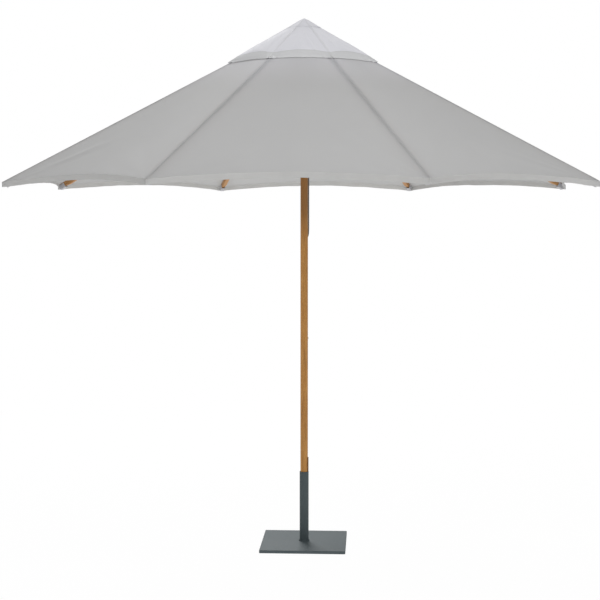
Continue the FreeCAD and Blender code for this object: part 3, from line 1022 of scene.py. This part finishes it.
def barAlongX(length, width, depth, taper):
    # a level bar from its pivot at the origin, round at the pivot and at the far end if it has no taper
    bm = bmesh.new()
    half = depth / 2
    foot = bm.verts.new((0, -width / 2, -half))
    bmesh.ops.spin(
        bm,
        geom=[foot],
        cent=(0, -width / 2, 0),
        axis=(0, 1, 0),
        angle=math.pi,
        steps=bar["arcSteps"],
        use_merge=False,
    )
    bm.verts.ensure_lookup_table()
    arc = list(bm.verts)
    top = max(arc, key=lambda vert: vert.co.z)
    if taper:
        outline = [(length, half), (length, 0), (length - taper, -half)]
        ends = [bm.verts.new((x, -width / 2, z)) for x, z in outline]
        chain = [top, *ends, foot]
        for pair in zip(chain, chain[1:]):
            bm.edges.new(pair)
    else:
        made = bmesh.ops.duplicate(bm, geom=bm.verts[:] + bm.edges[:])
        copies = [item for item in made["geom"] if isinstance(item, bmesh.types.BMVert)]
        flip = Matrix.Translation((length, 0, 0)) @ Matrix.Rotation(math.pi, 4, "Y")
        bmesh.ops.transform(bm, matrix=flip, verts=copies)
        bm.edges.new((top, min(copies, key=lambda vert: (-vert.co.z, vert.co.x))))
        bm.edges.new((foot, min(copies, key=lambda vert: (vert.co.z, vert.co.x))))
    bmesh.ops.contextual_create(bm, geom=bm.edges[:])
    made = bmesh.ops.extrude_face_region(bm, geom=bm.faces[:])
    moved = [item for item in made["geom"] if isinstance(item, bmesh.types.BMVert)]
    bmesh.ops.translate(bm, vec=(0, width, 0), verts=moved)
    bmesh.ops.recalc_face_normals(bm, faces=bm.faces)
    sides = [edge for edge in bm.edges if abs(edge.verts[0].co.y - edge.verts[1].co.y) < 1e-6]
    sharp = math.radians(35)
    corners = [edge for edge in bm.edges if edge not in sides and edge.calc_face_angle(0) > sharp]
    bmesh.ops.bevel(
        bm,
        geom=sides + corners,
        offset=bar["edge"],
        offset_type="OFFSET",
        segments=3,
        profile=0.5,
        affect="EDGES",
        clamp_overlap=True,
        material=-1,
    )
    return bm


def makeArms(materials):
    for rib in range(ribCount):
        number = rib + 1
        turn = ribMatrix(rib)
        ribPlace = turn @ Matrix.Translation(hubPivot) @ Matrix.Rotation(ribPitch, 4, "Y")
        strutPlace = turn @ Matrix.Translation(runnerPivot) @ Matrix.Rotation(-strutPitch, 4, "Y")
        ribBar = barAlongX(ribLength, bar["ribWidth"], bar["ribDepth"], bar["tipTaper"])
        strutBar = barAlongX(armLength, bar["strutWidth"], bar["strutDepth"], 0)
        shift = Matrix.Translation((0.37 * number, 0, 0.05 * number))  # its own stretch of timber
        for bm, place, node in ((ribBar, ribPlace, "rib"), (strutBar, strutPlace, "strut")):
            bmesh.ops.transform(bm, matrix=shift, verts=bm.verts)
            placed(bm, place @ shift.inverted())
            body = f"{node}_{number}"
            finished(f"{node}Bar_{number}", bm, body, materials["rib_wood"], [body], sharp=30)
        plates = softened(f"rib_bracket_{number}", bar["plateEdge"])
        finished(
            f"bracketPlates_{number}",
            plates,
            f"rib_{number}",
            materials["fittings_steel"],
            [f"rib_bracket_{number}"],
            sharp=30,
        )
        makePocket(number, ribPlace, materials["canopy_cloth"])


pocket = {
    "cover": 0.034,          # how much of the rib's end it holds
    "room": 0.0012,
    "wall": 0.0009,
    "beyond": 0.006,
    "top": 0.0133,           # the cloth lies on its edges
    "bottom": -0.0156,
    "corner": 0.003,
    "crinkle": 0.0016,
}


def makePocket(number, ribPlace, material):
    # a sewn pocket in the hem corner, open at the top, that holds the end of a rib
    start = ribLength - pocket["cover"]
    end = ribLength + pocket["beyond"]
    half = bar["ribWidth"] / 2 + pocket["room"]
    bm = bmesh.new()
    bmesh.ops.create_cube(bm, size=1)
    for vert in bm.verts:
        vert.co = Vector((
            end if vert.co.x > 0 else start,
            math.copysign(half, vert.co.y),
            pocket["top"] if vert.co.z > 0 else pocket["bottom"],
        ))
    rounded(bm, pocket["corner"], 3)
    bmesh.ops.subdivide_edges(bm, edges=bm.edges[:], cuts=5, use_grid_fill=True)
    away = []
    rim = pocket["corner"] + 0.0001
    for face in bm.faces:
        middle = face.calc_center_median()
        if middle.x < start + rim or middle.z > pocket["top"] - rim:
            away.append(face)
    bmesh.ops.delete(bm, geom=away, context="FACES")
    for vert in bm.verts:
        crinkle = abs(noise.noise(vert.co * 70 + Vector((number, 0, 0)))) * pocket["crinkle"]
        vert.co.y += math.copysign(crinkle, vert.co.y)
        vert.co.z -= crinkle * (vert.co.z < pocket["bottom"] + 0.001)
    uv = bm.loops.layers.uv.new("surface")
    hem = bm.verts.layers.float.new("hemDistance")
    seam = bm.verts.layers.float.new("seamDistance")
    for vert in bm.verts:
        vert[hem] = 0.2
        vert[seam] = max(0.0, vert.co.x - start)
    for face in bm.faces:
        for loop in face.loops:
            loop[uv].uv = (loop.vert.co.y + loop.vert.co.z, loop.vert.co.x)
    bm.normal_update()
    outermost = max(bm.faces, key=lambda face: face.calc_center_median().x)
    if outermost.normal.x < 0:
        bmesh.ops.reverse_faces(bm, faces=bm.faces)
    area = sum(face.calc_area() for face in bm.faces)
    thickened(bm, pocket["wall"], bm.faces[:][len(bm.faces) // 2].normal.copy())
    bmesh.ops.transform(bm, matrix=ribPlace, verts=bm.verts)
    body = f"rib_{number}"
    piece = finished(f"cornerPocket_{number}", bm, body, material, sharp=50)
    end - start + half


# hub, runner, pole and base

base = {
    "plateEdge": 0.0007,
    "tubeSteps": 72,
    "lip": 0.0006,
    "bore": 0.0003,          # around the seat
    "weld": 0.005,
    "weldRipples": 40,
    "rippleHeight": 0.00045,
}
timberEdge = 0.0012
wedgeEdge = 0.0004


def makeBase(materials):
    steel = materials["base_steel"]
    plate = softened("base_plate", base["plateEdge"], 3)
    finished("basePlate", plate, "base", steel, ["base_plate"], sharp=30)

    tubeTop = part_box("base_tube")[1].z
    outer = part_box("base_tube")[1].x - base["weld"]
    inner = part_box("pole_seat")[1].x + base["bore"]
    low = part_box("base_plate")[1].z
    lip = base["lip"]
    profile = [
        (inner, low),
        (inner, tubeTop - lip),
        (inner + lip, tubeTop),
        (outer - lip, tubeTop),
        (outer - 0.3 * lip, tubeTop - 0.3 * lip),
        (outer, tubeTop - lip),
        (outer, low),
    ]
    sleeve = turned(profile, base["tubeSteps"])
    finished("baseTube", sleeve, "base", steel, ["base_tube"], sharp=35)

    bead = [(outer - 0.0005, low), (outer - 0.0005, low + base["weld"])]
    for step in range(1, 6):
        turn = math.pi / 2 * step / 6
        bead.append((outer + base["weld"] * math.sin(turn) * 0.92, low + base["weld"] * math.cos(turn)))
    bead.append((outer + base["weld"], low))
    weld = turned(bead, base["weldRipples"] * 6)
    for vert in weld.verts:
        turn = math.atan2(vert.co.y, vert.co.x)
        reach = math.hypot(vert.co.x, vert.co.y)
        raised = smooth(reach, outer, outer + 0.002) * smooth(vert.co.z, low, low + 0.0015)
        ripple = base["rippleHeight"] * raised * math.cos(turn * base["weldRipples"])
        vert.co.z += ripple
        vert.co.x += ripple * math.cos(turn)
        vert.co.y += ripple * math.sin(turn)
    finished("weldBead", weld, "base", steel, ["base_tube"], sharp=70)


def makeTimber(materials):
    timber = materials["hub_wood"]
    for node, body, name in (("top_hub", "pole", "hubDisc"), ("runner", "runner", "runnerBlock")):
        finished(name, softened(node, timberEdge), body, timber, [node], sharp=30)
    wedge = softened("pole_wedge", wedgeEdge)
    finished("wedgeShim", wedge, "wedge", materials["wedge_wood"], ["pole_wedge"], sharp=30)


def paintFrame(materials):
    for node, piece in frame["nodes"].items():
        if not piece.hide_render:
            piece.material_slots[0].material = materials[slotOf[node]]


# studio

studio = {
    "world": 0.4,
    "key": {"place": (0.4, -3.0, 4.6), "power": 63, "size": 1.6},
    "side": {"place": (3.9, -1.6, 3.1), "power": 14, "size": 1.2},
    "back": {"place": (-1.6, 6.0, 5.8), "power": 490, "size": 3.5},
    "aim": (0, 0, 1.6),
    "floorRadius": 60.0,
    "floorGlow": 0.97,       # near the part, and all of it further off
    "glowFrom": 1.0,
    "glowTo": 5.0,
}


def makeStudio():
    world = bpy.data.worlds.new("studio")
    bpy.context.scene.world = world
    world.use_nodes = True
    world.node_tree.nodes.clear()
    paint = Paint(world.node_tree)
    seen = paint.node("ShaderNodeLightPath", None, None, "Is Camera Ray")
    strength = seen * (1.0 - studio["world"]) + studio["world"]
    sky = paint.node("ShaderNodeBackground", None, {"Color": (1, 1, 1, 1), "Strength": strength})
    paint.node("ShaderNodeOutputWorld", None, {"Surface": sky})

    bm = bmesh.new()
    bmesh.ops.create_circle(bm, cap_ends=True, segments=96, radius=studio["floorRadius"])
    mesh = bpy.data.meshes.new("floor")
    bm.to_mesh(mesh)
    bm.free()
    floor = bpy.data.objects.new("floor", mesh)
    collection.objects.link(floor)
    material, paint = newMaterial("paleFloor")
    place = paint.node("ShaderNodeTexCoord", None, None, "Object")
    distance = place.node("ShaderNodeVectorMath", {"operation": "LENGTH"}, {0: place}, "Value")
    speckle = place.cloud(40.0, 2.0)
    colour = speckle.tint(rgb(238, 238, 238), rgb(244, 244, 244))
    matt = paint.node("ShaderNodeBsdfPrincipled", None, {"Base Color": colour, "Roughness": 0.9})
    glow = paint.node("ShaderNodeEmission", None, {"Color": (1, 1, 1, 1), "Strength": 1.0})
    far = distance.ramp(studio["glowFrom"], studio["glowTo"])
    share = far * (1.0 - studio["floorGlow"]) + studio["floorGlow"]
    mixed = paint.node("ShaderNodeMixShader", None, {0: share, 1: matt, 2: glow})
    below = paint.node("ShaderNodeNewGeometry", None, None, "Backfacing")
    clear = paint.node("ShaderNodeBsdfTransparent")
    mixed = paint.node("ShaderNodeMixShader", None, {0: below, 1: mixed, 2: clear})
    paint.node("ShaderNodeOutputMaterial", None, {"Surface": mixed})
    mesh.materials.append(material)

    for name in ("key", "side", "back"):
        light = bpy.data.lights.new(name, "AREA")
        light.energy = studio[name]["power"]
        light.size = studio[name]["size"]
        lamp = bpy.data.objects.new(name, light)
        lamp.location = studio[name]["place"]
        towards = Vector(studio["aim"]) - lamp.location
        lamp.rotation_euler = towards.to_track_quat("-Z", "Y").to_euler()
        collection.objects.link(lamp)
    bpy.context.scene.view_settings.view_transform = "Standard"


makeCamera()
materials = makeMaterials()
print("materials", len(materials))
makeRopes(materials["rope"])
print("ropes")
makeCanopy(materials)
makeCrown(materials["cap_cloth"])
makeTapes(materials["canopy_cloth"])
print("canopy")
makeArms(materials)
print("ribs and struts")
makeBase(materials)
makeTimber(materials)
paintFrame(materials)
makeStudio()
print("base, hub, runner and studio")
